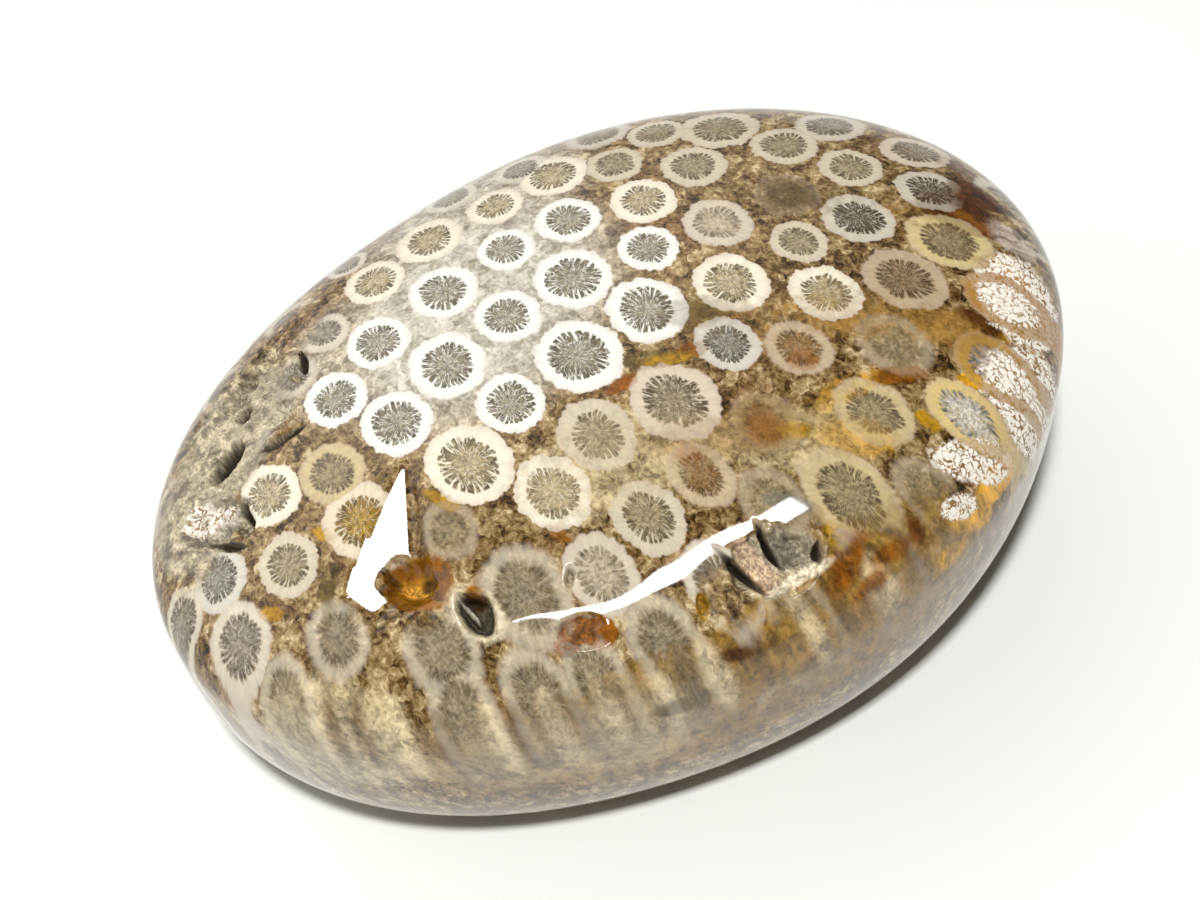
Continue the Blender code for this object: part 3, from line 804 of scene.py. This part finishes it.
# The weathered end has pale ridges round darker cells, the light and shade of sunken cells painted
# in, and keeps some of the gloss.
cell_size = 1.7 * MM
weathered = put("Attribute", "Fac", {}, attribute_name="weathered")
cell_shade_and_ridge_light = put("TexVoronoi", "Distance", {"Vector": warped, "Scale": 1 / cell_size},
             feature="DISTANCE_TO_EDGE")
cell_shade_and_ridge_light = put("MapRange", 0, {0: cell_shade_and_ridge_light, 1: 0.05, 2: 0.3, 3: 1.35, 4: 0.65})
cell_shade_and_ridge_light = put("Mix", 0, {0: weathered, 2: 1.0, 3: cell_shade_and_ridge_light})
rock = put("VectorMath", 0, {0: rock, "Scale": cell_shade_and_ridge_light}, operation="SCALE")
unpolished = put("Math", 0, {0: weathered, 1: 0.6}, operation="MULTIPLY")
unpolished = put("Math", 0, {0: bare, 1: unpolished}, operation="MAXIMUM")
bare_share = put("Math", 0, {0: unpolished, 1: 0.85}, operation="MULTIPLY")
colour = put("Mix", 2, {0: bare_share, 6: colour, 7: rock}, data_type="RGBA")

# White flecks in tan gaps. At the +X end they are painted glitter, light glinting off a rough
# patch; on the broken patch they are a crust of white crystals.
fleck_size = 0.55 * MM
glitter_and_crystal_specks = put("TexVoronoi", "Distance", {"Vector": warped, "Scale": 1 / fleck_size},
            feature="DISTANCE_TO_EDGE")
glitter_and_crystal_specks = put("Math", 0, {0: speck, 1: 0.9, 2: glitter_and_crystal_specks}, operation="MULTIPLY_ADD")
glitter_and_crystal_specks = put("MapRange", 0, {0: glitter_and_crystal_specks, 1: 0.42, 2: 0.6}, interpolation_type="SMOOTHSTEP")
glitter_and_crystal_cover = put("Attribute", "Fac", {}, attribute_name="flecks")
glitter_and_crystal_cover = put("Math", 0, {0: ragged, 1: 1.1, 2: glitter_and_crystal_cover}, operation="MULTIPLY_ADD")
glitter_and_crystal_cover = put("MapRange", 0, {0: glitter_and_crystal_cover, 1: 0.9, 2: 1.35}, interpolation_type="SMOOTHSTEP")
gaps = put("Math", 0, {0: glitter_and_crystal_cover, 1: 0.6}, operation="MULTIPLY")
colour = put("Mix", 2, {0: gaps, 6: colour, 7: rgba("#a07a48")}, data_type="RGBA")
outside = put("Math", 0, {0: wall_share, 1: -0.85, 2: 1.0}, operation="MULTIPLY_ADD")
glitter_and_crystal_specks = put("Math", 0, {0: glitter_and_crystal_specks, 1: outside}, operation="MULTIPLY")
glitter_and_crystal_specks = put("Math", 0, {0: glitter_and_crystal_specks, 1: glitter_and_crystal_cover}, operation="MULTIPLY")
colour = put("Mix", 2, {0: glitter_and_crystal_specks, 6: colour, 7: rgba("#f3ede0")}, data_type="RGBA")
# Painted shade: the deeper a hollow, the darker its bottom is painted.
colour = put("Mix", 2, {0: painted_shade_of_deep_hollows, 6: colour, 7: rgba("#1a1509")}, data_type="RGBA")
links.new(colour, shader.inputs["Base Color"])

# The polish of agate, and the dull break of bare rock.
polish_roughness = 0.045
rock_roughness = 0.75
roughness = put("MapRange", 0, {0: unpolished, 3: polish_roughness, 4: rock_roughness})
links.new(roughness, shader.inputs["Roughness"])
shader.inputs["IOR"].default_value = 1.54

# ---------------------------------------------------------------------------------------------
# The floor. A wide flat sheet of white paper, laid out on a table, with the stone standing on it.
# It gives the eye a plain white ground with no shine, and a soft grey shadow at the stone's foot.
# ---------------------------------------------------------------------------------------------

floor_half_side = 1.5
floor_mesh = bpy.data.meshes.new("pale floor")
sheet = bmesh.new()
bmesh.ops.create_grid(sheet, x_segments=1, y_segments=1, size=floor_half_side)
sheet.to_mesh(floor_mesh)
sheet.free()
floor = bpy.data.objects.new("pale_floor", floor_mesh)
bpy.context.scene.collection.objects.link(floor)
paper = bpy.data.materials.new("matt white paper")
paper.use_nodes = True
paper.node_tree.nodes["Principled BSDF"].inputs["Base Color"].default_value = rgba("#e6e6e2")
paper.node_tree.nodes["Principled BSDF"].inputs["Roughness"].default_value = 0.9
floor_mesh.materials.append(paper)

# ---------------------------------------------------------------------------------------------
# The light. A white room, brightest at eye level, with two broad glows beyond the stone, which lie
# in its polish as pale sheens on the crown and towards -X, and two softboxes.
# ---------------------------------------------------------------------------------------------

# The room's strength at eye level and above it, and each glow's direction, spread and strength.
level_strength = 0.3
high_strength = 0.05
glows = (((0.14, 0.75, 0.65), 0.42, 1.2), ((-0.75, 0.55, 0.62), 0.5, 1.3))
world = bpy.data.worlds.new("soft white room")
world.use_nodes = True
nodes, links = world.node_tree.nodes, world.node_tree.links
toward = put("TexCoord", "Generated", {})
rise = put("SeparateXYZ", "Z", {0: toward})
light = put("MapRange", 0, {0: rise, 1: 0.0, 2: 0.5, 3: level_strength, 4: high_strength},
            interpolation_type="SMOOTHSTEP")
for direction, spread, strength in glows:
    away = put("VectorMath", "Value", {0: toward, 1: Vector(direction).normalized()},
               operation="DISTANCE")
    glow = put("MapRange", 0, {0: away, 1: 0.0, 2: spread * 2, 3: strength, 4: 0.0},
               interpolation_type="SMOOTHSTEP")
    light = put("Math", 0, {0: glow, 1: light}, operation="ADD")
links.new(light, nodes["Background"].inputs["Strength"])
nodes["Background"].inputs["Color"].default_value = (1, 1, 1, 1)
bpy.context.scene.world = world


def softbox(name, direction, distance, size_x, size_y, radiance, long_axis):
    """A rectangular lamp that faces the stone, its first side along long_axis. Lengths in metres."""
    light = bpy.data.lights.new(name, "AREA")
    light.shape = "RECTANGLE"
    light.size, light.size_y = size_x, size_y
    light.energy = radiance * np.pi * size_x * size_y
    lamp = bpy.data.objects.new(name, light)
    back = Vector(direction).normalized()
    side = Vector(long_axis)
    side = (side - back * side.dot(back)).normalized()
    lamp.matrix_world = Matrix.Translation(back * distance) @ Matrix(
        (side, back.cross(side), back)).transposed().to_4x4()
    bpy.context.scene.collection.objects.link(lamp)
    return lamp


# The small lamp lights the stone and casts its shadow, and doesn't show in the polish. The strip
# lies in the polish as a long narrow highlight on the front, and lights nothing else.
lamp = softbox("small lamp overhead", (-0.2, -0.19, 1), 0.7, 0.06, 0.06, 430, (1, 0, 0))
lamp.visible_glossy = False
strip = softbox("strip of the highlight", (0.1226, -0.3289, 0.9364), 0.598, 0.325, 0.06, 32,
                (0.43, 0.10, 0))
strip.visible_diffuse = False

# ---------------------------------------------------------------------------------------------
# The camera. It stands in front of the stone and above it, a little to the left, and looks down
# on the crown through a long lens.
# ---------------------------------------------------------------------------------------------

# Where it stands, in mm, the way it looks, and which way its right-hand side points.
camera_place = (-60.108, -97.612, 206.848)
forward = Vector((0.26344, 0.44351, -0.85668)).normalized()
right = Vector((0.8598, -0.5107, 0)).normalized()
camera = bpy.data.cameras.new("camera")
camera.lens = 76.85
camera.sensor_width = 36
camera.clip_start = 0.01
viewer = bpy.data.objects.new("camera", camera)
viewer.matrix_world = Matrix.Translation(Vector(camera_place) * MM) @ Matrix(
    (right, right.cross(forward), -forward)).transposed().to_4x4()
bpy.context.scene.collection.objects.link(viewer)
bpy.context.scene.camera = viewer
bpy.context.scene.view_settings.view_transform = "Standard"
